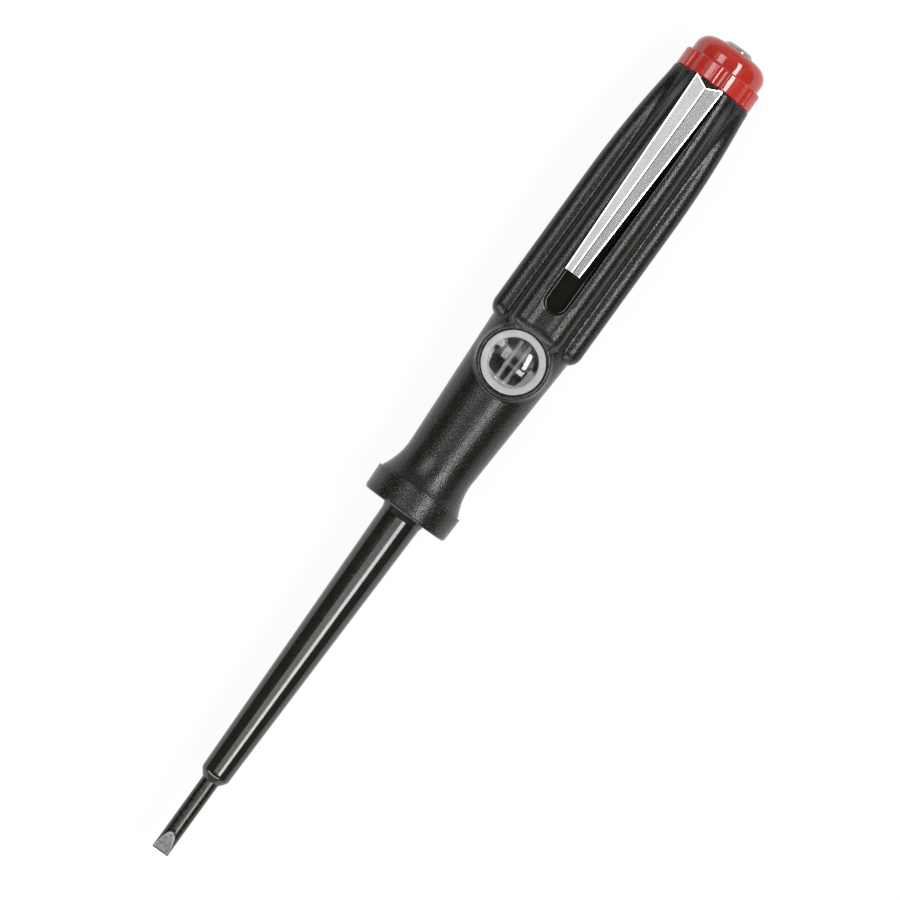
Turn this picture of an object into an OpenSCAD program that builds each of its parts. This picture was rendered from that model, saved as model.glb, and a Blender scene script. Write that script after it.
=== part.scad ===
// Voltage tester screwdriver with a ribbed grip, a lamp window, a pocket clip and a screw cap.
// The tool lies along X: the blade points to +X, the window and the clip face +Z.
// The origin is on the axis, in the front face of the collar.

/* [Blade] */
// Diameter of the round blade
blade_d = 3; // [2.6:0.1:3.4]
// Diameter of the blade inside its sleeve
blade_core_d = 2.6; // [2.2:0.05:2.9]
// Bare length of the blade ahead of its sleeve
blade_bare_len = 14; // [8:0.1:40]
// Length of the flats ground at the tip
blade_flat_len = 4.1; // [3:0.1:7]
// Thickness of the tip
blade_tip_t = 0.5; // [0.3:0.05:0.9]
// Length of the blade held in the handle
blade_tang_len = 18; // [16:0.25:19]
// Width across the wings that keep the blade from turning
blade_wing_w = 6; // [4:0.25:8]
// Thickness of the wings
blade_wing_t = 1.2; // [0.8:0.1:2]
// Length of the wings
blade_wing_len = 4; // [2:0.25:5]
// Length of round blade behind the wings
blade_end_len = 1; // [0.5:0.25:2]

/* [Blade sleeve] */
// Length of the sleeve in front of the collar, up to its tapered nose
sleeve_len = 52.1; // [30:0.1:120]
// Length of the tapered nose
sleeve_nose_len = 1.2; // [0.4:0.05:3]
// Diameter of the nose at its end
sleeve_nose_d = 3.2; // [3.1:0.05:4.4]
// Diameter of the sleeve behind its nose
sleeve_end_d = 5.06; // [4.9:0.02:6.4]
// Diameter of the sleeve at the handle
sleeve_root_d = 7.14; // [6.4:0.02:7.6]
// Diameter of the step against the collar
sleeve_step_d = 7.76; // [7.6:0.02:9]
// Length of that step
sleeve_step_len = 1; // [0.5:0.1:3]
// Length of the step's rim that is let into the collar
sleeve_rim_len = 0.8; // [0.4:0.1:2]
// Diameter of the sleeve inside the handle
sleeve_socket_d = 6; // [5:0.1:7]
// Length of the sleeve inside the handle
sleeve_socket_len = 8; // [5:0.25:9]

/* [Handle] */
// Length of the handle from the collar's front face to its end
handle_len = 84.8; // [82:0.1:95]
// Length of the collar
collar_len = 4.4; // [3:0.1:6]
// Diameter of the collar at its front edge
collar_front_d = 15.6; // [15.3:0.05:17]
// Diameter of the collar at its back edge
collar_back_d = 15.9; // [15.3:0.05:17]
// Chamfer on the collar's front edge
collar_chamfer = 0.35; // [0.1:0.05:1]
// Diameter where the flare starts behind the collar
flare_d = 15.2; // [14:0.05:15.3]
// Radius of the flare between the collar and the neck
flare_r = 11.5; // [8:0.25:14]
// Diameter of the neck at its thinnest
neck_d = 12.24; // [11:0.02:13]
// Diameter at the shoulder, where the ribs start
shoulder_d = 14.7; // [14.2:0.05:15.2]
// Diameter at the end under the cap
end_d = 14.5; // [14.3:0.05:15]
// Diameter of the chamber for the lamp, the resistor and the springs
bore_d = 6; // [5.7:0.05:6.6]

/* [Grip ribs] */
// Number of ribs round the grip
rib_count = 8; // [8:2:10]
// Diameter of a rib
rib_d = 4.5; // [4:0.05:4.8]
// Diameter over the rib crests
rib_crest_d = 18.1; // [17.4:0.05:19]
// Distance from the collar's front face to the rounded ends of the ribs
rib_at = 34.65; // [33:0.05:37]
// Length of the stretch where the ribs bend in towards the cap
rib_bend_len = 22.8; // [15:0.1:30]
// How far the ribs sink over that stretch
rib_sink = 1.6; // [1:0.05:1.9]
// Width of the bridge between the two middle ribs
bridge_w = 3.9; // [3.2:0.1:4.6]
// Depth of the bridge's top below the rib crests
bridge_drop = 0.2; // [0.1:0.05:0.8]
// Size of the slope at the bridge's front end
bridge_slope = 1.4; // [0.5:0.1:2]

/* [Lamp window] */
// Distance from the collar's front face to the window's centre
window_at = 30; // [29.5:0.1:31]
// Diameter of the boss round the window
boss_d = 12.2; // [11.6:0.1:13]
// Height of the boss's rim above the tool's axis
boss_top = 7.4; // [7.2:0.05:8]
// Chamfer on the boss's outer edge
boss_chamfer = 0.35; // [0.1:0.05:0.5]
// Outside diameter of the lens ring
ring_d = 10.56; // [10.2:0.02:11]
// Hole in the lens ring
ring_hole_d = 8.14; // [7.6:0.02:8.6]
// Thickness of the lens ring
ring_t = 1.6; // [1:0.05:1.8]
// Depth of the ring's face below the boss's rim
ring_inset = 0.1; // [0:0.05:0.4]
// Diameter of the lens flange under the ring
lens_flange_d = 9.4; // [8.8:0.1:10]
// Thickness of the lens flange
lens_flange_t = 0.8; // [0.5:0.05:1.2]
// Rise of the lens dome above the ring's face
lens_rise = 1; // [0.4:0.05:1.6]
// Height of the lens's rim below the ring's face
lens_sink = 0.15; // [0.05:0.05:0.4]
// Diameter of the opening under the lens
window_d = 6.8; // [6:0.1:7.6]

/* [Neon lamp] */
// Diameter over the lamp's metal caps
lamp_d = 5.2; // [4.8:0.05:5.5]
// Length of the lamp over its caps
lamp_len = 17; // [15.5:0.1:18]
// Length of each cap
lamp_cap_len = 2.8; // [2:0.1:3.2]
// Wall of the caps
lamp_cap_wall = 0.28; // [0.2:0.02:0.4]
// Wall of the glass
lamp_glass_wall = 0.4; // [0.3:0.05:0.6]
// Length of the glass bead that holds the wires
lamp_bead_len = 5; // [3:0.1:6]
// Diameter of an electrode wire
electrode_d = 0.5; // [0.4:0.05:0.8]
// Distance between the two electrode wires
electrode_gap = 0.95; // [0.9:0.05:2]
// Free length between the wires' ends and the end of the glass
electrode_free = 1.8; // [1:0.1:3]

/* [Resistor] */
// Diameter of the ceramic rod
resistor_d = 4.2; // [3.4:0.1:4.6]
// Length over the caps
resistor_len = 20; // [14:0.25:22]
// Length of each cap
resistor_cap_len = 3; // [2:0.1:4]
// Wall of the caps
resistor_cap_wall = 0.3; // [0.2:0.02:0.4]

/* [Springs and contacts] */
// Outside diameter of both springs
spring_d = 5; // [4.4:0.1:5.4]
// Wire diameter of both springs
spring_wire_d = 0.6; // [0.5:0.05:0.7]
// Turns of the spring behind the resistor
contact_spring_turns = 8; // [5:0.5:10]
// Turns of the spring in front of the lamp
front_spring_turns = 2.5; // [2:0.5:2.5]
// Diameter of the loose contact plate
plate_d = 5.2; // [4.6:0.1:5.5]
// Thickness of the contact plate
plate_t = 0.6; // [0.4:0.05:1]
// Diameter of the washer under the rivet's inner end
washer_d = 5.6; // [5:0.1:6]
// Thickness of that washer
washer_t = 0.5; // [0.3:0.05:0.8]

/* [End cap] */
// Diameter of the cap's gripping ring
cap_ring_d = 14.4; // [14:0.1:15]
// Length of the gripping ring
cap_ring_len = 3.3; // [2.5:0.1:6]
// Number of finger grooves round the ring
cap_groove_count = 8; // [6:1:12]
// Width of a finger groove
cap_groove_w = 2.5; // [1:0.1:3]
// Depth of a finger groove
cap_groove_depth = 0.5; // [0.2:0.05:0.7]
// Diameter of the dome above the ring
dome_d = 12.9; // [11:0.1:13.2]
// Height of the dome above the ring
dome_len = 3.8; // [3:0.1:6]
// Radius of the dome's shoulder
dome_shoulder_r = 2.5; // [1:0.1:2.9]
// Diameter of the screwed spigot under its thread
spigot_d = 8.8; // [8.2:0.1:9]
// Length of the spigot
spigot_len = 8.3; // [7:0.1:9]
// Height of the thread on the spigot
thread_h = 0.4; // [0.25:0.05:0.45]
// Pitch of the thread
thread_pitch = 1.5; // [1.2:0.1:1.8]
// Turns of the thread
thread_turns = 4; // [3:0.5:4]
// Diameter of the touch button at its foot
button_d = 5.54; // [4:0.1:6.5]
// Diameter of the touch button's top
button_top_d = 4.4; // [3:0.1:5]
// Height of the touch button
button_h = 0.8; // [0.5:0.05:1.5]
// Diameter of the rivet shank below the button
rivet_d = 2.5; // [2:0.1:3]
// Diameter of the rivet's inner end
rivet_tail_d = 3.8; // [3.4:0.1:4.4]
// Height of the rivet's inner end
rivet_tail_h = 0.6; // [0.4:0.05:1]

/* [Pocket clip] */
// Width of the clip at its tip
clip_tip_w = 2.8; // [2:0.1:3.4]
// Width of the clip at its root
clip_root_w = 5.2; // [4.6:0.1:6]
// Length of the clip from its tip to its root
clip_len = 37.7; // [25:0.1:44]
// Thickness of the sheet
clip_t = 0.5; // [0.4:0.05:0.8]
// How far the clip sits beside the middle, to the left with the cap up
clip_aside = 0.75; // [0:0.05:1]
// Slope of each side of the clip's ridge, in degrees
clip_fold = 20; // [10:1:30]
// Depth of the notch in the clip's root
clip_notch = 1.3; // [0.8:0.05:2]
// Gap between the clip's edges and the rib crests
clip_ride = 0.25; // [0.2:0.05:1]
// Width of each ear that is held under the cap
ear_w = 1; // [0.7:0.05:1.3]
// How deep the ears reach below the handle's end diameter
ear_depth = 1.8; // [1.5:0.05:2.1]
// Inside radius of the bend between the ears and the clip
ear_bend_r = 0.4; // [0.2:0.05:0.6]
// Angle that the clip springs open, in degrees
clip_open = 5; // [2:0.5:6]
// Width of the slot under the clip
slot_w = 4; // [3.6:0.1:4.4]
// Distance from the collar's front face to the slot's round end
slot_at = 39.9; // [38.5:0.1:44]
// Height of the slot's floor above the tool's axis
slot_floor = 6.6; // [6.2:0.05:7]
// Length of the rim between the slot and the handle's end
slot_rim = 1.4; // [1.2:0.05:2]

/* [Fits] */
// Radial gap of pieces that are pressed or moulded together
press_gap = 0.02; // [0.01:0.01:0.05]
// Gap of pieces that lie loose against each other
loose_gap = 0.05; // [0.02:0.01:0.1]
// Gap of pieces that move past each other
move_gap = 0.15; // [0.1:0.05:0.3]

/* [Hidden] */
$fn = 96;
beyond = 1;
far_out = rib_crest_d;

// Places along the axis, counted from the collar's front face towards the cap
sleeve_nose_at = -sleeve_len - sleeve_nose_len;
blade_tip_at = sleeve_nose_at - blade_bare_len;
blade_wing_at = blade_tang_len - blade_end_len - blade_wing_len;
neck_at = collar_len + sqrt(flare_r ^ 2 - (neck_d / 2 + flare_r - flare_d / 2) ^ 2);
lamp_front_at = window_at - lamp_len / 2;
lamp_rear_at = window_at + lamp_len / 2;
resistor_at = lamp_rear_at + loose_gap;
resistor_end_at = resistor_at + resistor_len;
cap_seat_at = handle_len + loose_gap;
spigot_end_at = cap_seat_at - spigot_len;
washer_at = spigot_end_at - loose_gap - washer_t;
rivet_end_at = washer_at - rivet_tail_h;
plate_at = rivet_end_at - loose_gap - plate_t;
dome_at = cap_seat_at + cap_ring_len;
dome_top_at = dome_at + dome_len;
thread_bore_at = spigot_end_at - move_gap;

// Ribs
rib_r = rib_d / 2;
rib_centre_r = rib_crest_d / 2 - rib_r;
rib_half_step = 180 / rib_count;
rib_straight_at = rib_at + rib_r;
rib_bend_at = handle_len - rib_bend_len;
rib_bend_r = (rib_bend_len ^ 2 + rib_sink ^ 2) / (2 * rib_sink);
rib_bend_angle = asin((rib_bend_len + beyond) / rib_bend_r);
rib_top = rib_centre_r * cos(rib_half_step) + rib_r;

// Window
ring_face = boss_top - ring_inset;
ring_foot = ring_face - ring_t;
lens_foot = ring_foot - lens_flange_t;
lens_d = ring_hole_d - 2 * press_gap;
lens_rim = ring_face - lens_sink;
lens_cap_h = lens_rise + lens_sink;
lens_r = (lens_d ^ 2 / 4 + lens_cap_h ^ 2) / (2 * lens_cap_h);

// Lamp and resistor
lamp_glass_d = lamp_d - 2 * lamp_cap_wall - 2 * press_gap;
lamp_glass_bore_d = lamp_glass_d - 2 * lamp_glass_wall;
lamp_cap_end_t = 2 * lamp_cap_wall;
lamp_glass_at = lamp_front_at + lamp_cap_end_t + press_gap;
lamp_glass_end_at = lamp_rear_at - lamp_cap_end_t - press_gap;
resistor_cap_d = resistor_d + 2 * press_gap + 2 * resistor_cap_wall;
resistor_cap_end_t = 2 * resistor_cap_wall;

// Clip, whose edges run level above the ribs
clip_edge = rib_top + clip_ride;
clip_top_at = handle_len - loose_gap;
clip_tip_at = clip_top_at - clip_len;
clip_ridge = clip_edge + (clip_root_w / 2) * tan(clip_fold) + clip_t / cos(clip_fold);
clip_tilt = atan((clip_root_w - clip_tip_w) / 2 * tan(clip_fold) / clip_len);
ear_foot = end_d / 2 - ear_depth;
ear_in = clip_root_w / 2 - ear_w;
clip_pivot = [clip_edge - ear_bend_r, clip_top_at - clip_t - ear_bend_r];
ear_swing = (clip_pivot[0] - ear_foot) * sin(clip_open);

// Springs
spring_sides = 6;
spring_steps = 8;

// Thread: steps in a turn, and the half widths of its ridge in pitches
thread_steps = 24;
thread_root_half = 0.4;
thread_crest_half = 0.12;

// Lays the upright tool down: the axis turns to -X and the window side turns up.
module lay() {
    rotate([0, -90, 0]) children();
}

// Points of an arc from angle a0 to a1 in an outline
function arc(centre, r, a0, a1, steps = 10) =
    [for (i = [0:steps]) let (a = a0 + (a1 - a0) * i / steps) centre + r * [cos(a), sin(a)]];

// Round bar from height a to height b
module bar(d, a, b) {
    translate([0, 0, a]) cylinder(d = d, h = b - a);
}

// Round bar square to the axis, out of the window side, from height a to height b
module window_bar(d, a, b) {
    translate([a, 0, window_at]) rotate([0, 90, 0]) cylinder(d = d, h = b - a);
}

// Cup with its closed end at 0, standing up
module cup(d, len, wall, end_t) {
    difference() {
        bar(d, 0, len);
        bar(d - 2 * wall, end_t, len + beyond);
    }
}

// Points of a coil's centre line
function coil_points(d, rise, turns) =
    [for (i = [0:turns * spring_steps])
        let (a = 360 * i / spring_steps)
        [d / 2 * cos(a), d / 2 * sin(a), rise * i / (turns * spring_steps)]];

// Wire coil standing on 0, as one unbroken tube
module coil(outer_d, wire_d, len, turns) {
    d = outer_d - wire_d;
    rise = len - wire_d;
    points = coil_points(d, rise, turns);
    count = len(points);
    slope = atan(rise / turns / (PI * d));
    leads = [for (i = [0:count - spring_steps - 1]) norm(points[i + spring_steps] - points[i])];
    gap = min(leads) - wire_d;
    echo(spring_gap = gap);
    rings = [for (i = [0:count - 1])
        let (a = 360 * i / spring_steps)
        let (out = [cos(a), sin(a), 0])
        let (up = [sin(a) * sin(slope), -cos(a) * sin(slope), cos(slope)])
        for (k = [0:spring_sides - 1])
            let (c = 360 * k / spring_sides)
            points[i] + wire_d / 2 * (cos(c) * out + sin(c) * up)];
    sides = [for (i = [0:count - 2]) for (k = [0:spring_sides - 1])
        let (k2 = (k + 1) % spring_sides)
        let (p = i * spring_sides)
        let (q = p + spring_sides)
        for (f = [[p + k, p + k2, q + k2], [p + k, q + k2, q + k]]) f];
    first = [for (k = [1:spring_sides - 2]) [0, k + 1, k]];
    last_at = (count - 1) * spring_sides;
    last = [for (k = [1:spring_sides - 2]) [last_at, last_at + k, last_at + k + 1]];
    translate([0, 0, wire_d / 2]) polyhedron(rings, concat(sides, first, last), convexity = 10);
}

// Outline of the handle's round body, without ribs
module handle_outline() {
    flare_centre = [neck_d / 2 + flare_r, neck_at];
    flare_angle = asin((neck_at - collar_len) / flare_r);
    polygon(concat(
        [[0, 0], [collar_front_d / 2 - collar_chamfer, 0]],
        [[collar_front_d / 2, collar_chamfer], [collar_back_d / 2, collar_len]],
        arc(flare_centre, flare_r, 180 + flare_angle, 180),
        [[shoulder_d / 2, rib_at], [end_d / 2, handle_len], [0, handle_len]]
    ));
}

// One rib: a round-ended bar that bends in towards the cap
module rib() {
    straight_len = rib_bend_at - rib_straight_at;
    translate([rib_centre_r, 0, rib_straight_at])
        rotate_extrude()
            polygon(concat(arc([0, 0], rib_r, -90, 0), [[rib_r, straight_len], [0, straight_len]]));
    translate([rib_centre_r - rib_bend_r, 0, rib_bend_at])
        rotate([90, 0, 0])
            rotate_extrude(angle = rib_bend_angle)
                translate([rib_bend_r, 0]) circle(r = rib_r);
}

module ribs() {
    intersection() {
        for (i = [0:rib_count - 1])
            rotate([0, 0, (i + 0.5) * 2 * rib_half_step]) rib();
        bar(far_out * 2, 0, handle_len);
    }
}

// Bridge between the two middle ribs, sloped in front, which the slot's end is cut into
module rib_bridge() {
    top = rib_top - bridge_drop;
    rotate([90, 0, 0]) linear_extrude(bridge_w, center = true)
        polygon([
            [0, rib_at], [top - bridge_slope, rib_at], [top, rib_at + bridge_slope],
            [top, slot_at + slot_w / 2], [0, slot_at + slot_w / 2]
        ]);
}

// Boss round the window, chamfered on its outer edge
module window_boss() {
    window_bar(boss_d, 0, boss_top - boss_chamfer);
    translate([boss_top - boss_chamfer, 0, window_at])
        rotate([0, 90, 0])
            cylinder(d1 = boss_d, d2 = boss_d - 2 * boss_chamfer, h = boss_chamfer);
}

// Seats of the ring and the lens, and the opening down to the lamp
module window_cut() {
    window_bar(ring_d + 2 * press_gap, ring_foot, far_out);
    window_bar(lens_flange_d + 2 * press_gap, lens_foot, far_out);
    window_bar(window_d, 0, far_out);
}

// Slot under the clip, with a round end towards the window
module clip_slot() {
    end_at = handle_len - slot_rim;
    round_at = slot_at + slot_w / 2;
    translate([slot_floor, 0, round_at])
        rotate([0, 90, 0]) cylinder(d = slot_w, h = far_out);
    translate([slot_floor, -slot_w / 2, round_at])
        cube([far_out, slot_w, end_at - round_at]);
}

// Notches in the handle's end for the clip's ears, with room for their swing
module ear_notches() {
    floor_at = clip_top_at - clip_t - ear_swing - move_gap;
    for (side = [0, 1])
        mirror([0, side, 0])
            translate([ear_foot - move_gap, ear_in - move_gap, floor_at])
                cube([far_out, ear_w + 2 * move_gap, handle_len - floor_at + beyond]);
}

// Wings of the blade, or with a gap the seat for them
module blade_wings(gap = 0) {
    translate([-blade_wing_t / 2 - gap, -blade_wing_w / 2 - gap, blade_wing_at - gap])
        cube([blade_wing_t + 2 * gap, blade_wing_w + 2 * gap, blade_wing_len + 2 * gap]);
}

module handle() {
    color([0.13, 0.125, 0.12]) lay() difference() {
        union() {
            rotate_extrude() handle_outline();
            ribs();
            rib_bridge();
            window_boss();
        }
        bar(sleeve_step_d + 2 * press_gap, -beyond, sleeve_rim_len + press_gap);
        bar(sleeve_socket_d + 2 * press_gap, 0, sleeve_socket_len + press_gap);
        bar(blade_core_d + 2 * press_gap, 0, blade_tang_len);
        blade_wings(press_gap);
        bar(bore_d, blade_tang_len, handle_len + beyond);
        bar(spigot_d + 2 * thread_h + 2 * move_gap, thread_bore_at, handle_len + beyond);
        window_cut();
        clip_slot();
        translate([0, -clip_aside, 0]) ear_notches();
    }
}

module blade() {
    cut_deep = (blade_d - blade_tip_t) / 2;
    color([0.24, 0.24, 0.25]) lay() {
        difference() {
            union() {
                bar(blade_d, blade_tip_at, sleeve_nose_at - press_gap);
                bar(blade_core_d, sleeve_nose_at - beyond, blade_tang_len);
                blade_wings();
            }
            for (side = [0, 1])
                mirror([side, 0, 0])
                    translate([blade_d / 2, 0, blade_tip_at])
                        rotate([90, 0, 0])
                            linear_extrude(2 * blade_d, center = true)
                                polygon([[0, blade_flat_len], [-cut_deep, 0], [-cut_deep, -beyond],
                                    [beyond, -beyond], [beyond, blade_flat_len]]);
        }
    }
}

module blade_sleeve() {
    hole_r = blade_core_d / 2 + press_gap;
    color([0.05, 0.05, 0.055]) lay() rotate_extrude() polygon([
        [hole_r, sleeve_nose_at], [sleeve_nose_d / 2, sleeve_nose_at], [sleeve_end_d / 2, -sleeve_len],
        [sleeve_root_d / 2, -sleeve_step_len], [sleeve_step_d / 2, 0],
        [sleeve_step_d / 2, sleeve_rim_len], [sleeve_socket_d / 2, sleeve_rim_len],
        [sleeve_socket_d / 2, sleeve_socket_len], [hole_r, sleeve_socket_len]
    ]);
}

module lens_ring() {
    color([0.82, 0.83, 0.84]) lay() difference() {
        window_bar(ring_d, ring_foot + press_gap, ring_face);
        window_bar(ring_hole_d, 0, far_out);
    }
}

// Clear lens: a flange under the ring, a body in its hole and a dome above
module window_lens() {
    dome_angle = asin(lens_d / 2 / lens_r);
    color([0.85, 0.9, 0.92, 0.4]) lay()
        translate([0, 0, window_at]) rotate([0, 90, 0]) rotate_extrude() polygon(concat(
            [[0, lens_foot + press_gap], [lens_flange_d / 2, lens_foot + press_gap]],
            [[lens_flange_d / 2, ring_foot], [lens_d / 2, ring_foot]],
            arc([0, lens_rim + lens_cap_h - lens_r], lens_r, 90 - dome_angle, 90)
        ));
}

// Glass tube, open at the front where the bead fills it
module lamp_glass() {
    color([0.85, 0.9, 0.92, 0.4]) lay() difference() {
        bar(lamp_glass_d, lamp_glass_at, lamp_glass_end_at);
        bar(lamp_glass_bore_d, lamp_glass_at - beyond, lamp_glass_end_at - lamp_glass_wall);
    }
}

// Wires along the lamp, or with a gap the holes for them
module electrode_bars(gap = 0) {
    rear = lamp_glass_end_at - lamp_glass_wall - electrode_free;
    for (side = [-1, 1])
        translate([0, side * electrode_gap / 2, 0])
            bar(electrode_d + 2 * gap, lamp_glass_at - gap, rear);
}

module lamp_electrodes() {
    color([0.75, 0.73, 0.7]) lay() electrode_bars();
}

module lamp_bead() {
    color([0.55, 0.6, 0.6]) lay() difference() {
        bar(lamp_glass_bore_d - 2 * press_gap, lamp_glass_at, lamp_glass_at + lamp_bead_len);
        electrode_bars(press_gap);
    }
}

module lamp_front_cap() {
    color([0.78, 0.7, 0.5]) lay() translate([0, 0, lamp_front_at])
        cup(lamp_d, lamp_cap_len, lamp_cap_wall, lamp_cap_end_t);
}

module lamp_rear_cap() {
    color([0.78, 0.7, 0.5]) lay() translate([0, 0, lamp_rear_at]) mirror([0, 0, 1])
        cup(lamp_d, lamp_cap_len, lamp_cap_wall, lamp_cap_end_t);
}

module resistor_body() {
    inset = resistor_cap_end_t + press_gap;
    color([0.75, 0.68, 0.55]) lay() bar(resistor_d, resistor_at + inset, resistor_end_at - inset);
}

module resistor_front_cap() {
    color([0.8, 0.8, 0.8]) lay() translate([0, 0, resistor_at])
        cup(resistor_cap_d, resistor_cap_len, resistor_cap_wall, resistor_cap_end_t);
}

module resistor_rear_cap() {
    color([0.8, 0.8, 0.8]) lay() translate([0, 0, resistor_end_at]) mirror([0, 0, 1])
        cup(resistor_cap_d, resistor_cap_len, resistor_cap_wall, resistor_cap_end_t);
}

module front_spring() {
    color([0.7, 0.7, 0.72]) lay() translate([0, 0, blade_tang_len + loose_gap])
        coil(spring_d, spring_wire_d, lamp_front_at - blade_tang_len - 2 * loose_gap, front_spring_turns);
}

module contact_spring() {
    color([0.7, 0.7, 0.72]) lay() translate([0, 0, resistor_end_at + loose_gap])
        coil(spring_d, spring_wire_d, plate_at - resistor_end_at - 2 * loose_gap, contact_spring_turns);
}

module contact_plate() {
    color([0.78, 0.7, 0.5]) lay() bar(plate_d, plate_at, plate_at + plate_t);
}

module rivet_washer() {
    color([0.8, 0.8, 0.8]) lay() difference() {
        bar(washer_d, washer_at, washer_at + washer_t);
        bar(rivet_d + 2 * press_gap, 0, handle_len);
    }
}

// Outline of the cap above its seat: the ring and the domed top
module cap_outline() {
    shoulder_centre = [dome_d / 2 - dome_shoulder_r, dome_top_at - dome_shoulder_r];
    polygon(concat(
        [[0, cap_seat_at], [cap_ring_d / 2, cap_seat_at], [cap_ring_d / 2, dome_at]],
        [[dome_d / 2, dome_at]],
        arc(shoulder_centre, dome_shoulder_r, 0, 90),
        [[0, dome_top_at]]
    ));
}

// Finger grooves, round-bottomed, up the side of the ring
module cap_grooves() {
    half_w = cap_groove_w / 2;
    groove_r = (half_w ^ 2 + cap_groove_depth ^ 2) / (2 * cap_groove_depth);
    for (i = [0:cap_groove_count - 1])
        rotate([0, 0, 360 * i / cap_groove_count])
            translate([cap_ring_d / 2 - cap_groove_depth + groove_r, 0, 0])
                bar(2 * groove_r, cap_seat_at - beyond, dome_at);
}

// Helical thread on the spigot, as one ridge with tapered flanks
module cap_thread() {
    root_r = spigot_d / 2 - thread_h / 2;
    crest_r = spigot_d / 2 + thread_h;
    root_half = thread_root_half * thread_pitch;
    crest_half = thread_crest_half * thread_pitch;
    start_at = spigot_end_at + thread_pitch / 2;
    count = thread_turns * thread_steps;
    section = [[root_r, -root_half], [crest_r, -crest_half], [crest_r, crest_half], [root_r, root_half]];
    corners = len(section);
    points = [for (i = [0:count]) let (a = 360 * i / thread_steps) for (p = section)
        [p[0] * cos(a), p[0] * sin(a), start_at + p[1] + thread_pitch * i / thread_steps]];
    sides = [for (i = [0:count - 1]) for (k = [0:corners - 1])
        let (k2 = (k + 1) % corners)
        let (p = corners * i)
        let (q = p + corners)
        for (f = [[p + k, p + k2, q + k2], [p + k, q + k2, q + k]]) f];
    last = corners * count;
    ends = [[0, 2, 1], [0, 3, 2], [last, last + 1, last + 2], [last, last + 2, last + 3]];
    polyhedron(points, concat(sides, ends), convexity = 10);
}

module end_cap() {
    color([0.78, 0.14, 0.12]) lay() difference() {
        union() {
            difference() {
                rotate_extrude() cap_outline();
                cap_grooves();
            }
            bar(spigot_d, spigot_end_at, cap_seat_at + beyond);
            cap_thread();
        }
        bar(rivet_d + 2 * press_gap, 0, dome_top_at + beyond);
    }
}

// Touch button and rivet in one: head on the dome, shank through the cap, tail on the washer
module contact_button() {
    head_at = dome_top_at + press_gap;
    color([0.8, 0.81, 0.83]) lay() {
        translate([0, 0, head_at]) cylinder(d1 = button_d, d2 = button_top_d, h = button_h);
        bar(rivet_d, rivet_end_at, head_at);
        translate([0, 0, rivet_end_at])
            cylinder(d1 = rivet_d, d2 = rivet_tail_d, h = rivet_tail_h - press_gap);
    }
}

// Section of the folded sheet, or with a foot the space under it, ridge outwards
module clip_section(foot) {
    half_w = clip_root_w;
    drop = half_w * tan(clip_fold);
    deep = clip_t / cos(clip_fold);
    inside = foot > 0 ? [[foot, half_w], [foot, -half_w]]
        : [[clip_ridge - drop - deep, half_w], [clip_ridge - deep, 0], [clip_ridge - drop - deep, -half_w]];
    polygon(concat([[clip_ridge - drop, -half_w], [clip_ridge, 0], [clip_ridge - drop, half_w]], inside));
}

// Clip seen from the front: tapered, square at the tip and notched at the root
module clip_front() {
    polygon([
        [-clip_tip_w / 2, -clip_len], [clip_tip_w / 2, -clip_len],
        [clip_root_w / 2, 0], [0, -clip_notch], [-clip_root_w / 2, 0]
    ]);
}

module clip_blade() {
    translate([clip_ridge, 0, clip_top_at])
        rotate([0, clip_tilt, 0])
            translate([-clip_ridge, 0, -clip_top_at])
                intersection() {
                    translate([0, 0, clip_tip_at - beyond])
                        linear_extrude(clip_len + 2 * beyond) clip_section(0);
                    translate([0, 0, clip_top_at])
                        rotate([90, 0, 90]) linear_extrude(far_out * 2) clip_front();
                }
}

// Ears that turn in at the root, with a round inside bend
module clip_ears() {
    ear_at = clip_top_at - clip_t;
    for (side = [0, 1])
        mirror([0, side, 0]) {
            intersection() {
                translate([0, 0, ear_at]) linear_extrude(clip_t) clip_section(ear_foot);
                translate([0, ear_in, 0]) cube([far_out, ear_w, handle_len]);
            }
            difference() {
                translate([clip_pivot[0], ear_in, clip_pivot[1]])
                    cube([ear_bend_r + clip_t / 2, ear_w, ear_bend_r + clip_t / 2]);
                translate([clip_pivot[0], ear_in - beyond, clip_pivot[1]])
                    rotate([-90, 0, 0]) cylinder(r = ear_bend_r, h = ear_w + 2 * beyond);
            }
        }
}

module pocket_clip() {
    color([0.8, 0.8, 0.8]) lay() translate([0, -clip_aside, 0]) {
        clip_blade();
        clip_ears();
    }
}

handle();
blade();
blade_sleeve();
lens_ring();
window_lens();
lamp_glass();
lamp_electrodes();
lamp_bead();
lamp_front_cap();
lamp_rear_cap();
resistor_body();
resistor_front_cap();
resistor_rear_cap();
front_spring();
contact_spring();
contact_plate();
rivet_washer();
end_cap();
contact_button();
pocket_clip();
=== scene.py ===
import math

import bmesh
import bpy
import numpy as np
from mathutils import Matrix, Vector


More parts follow.
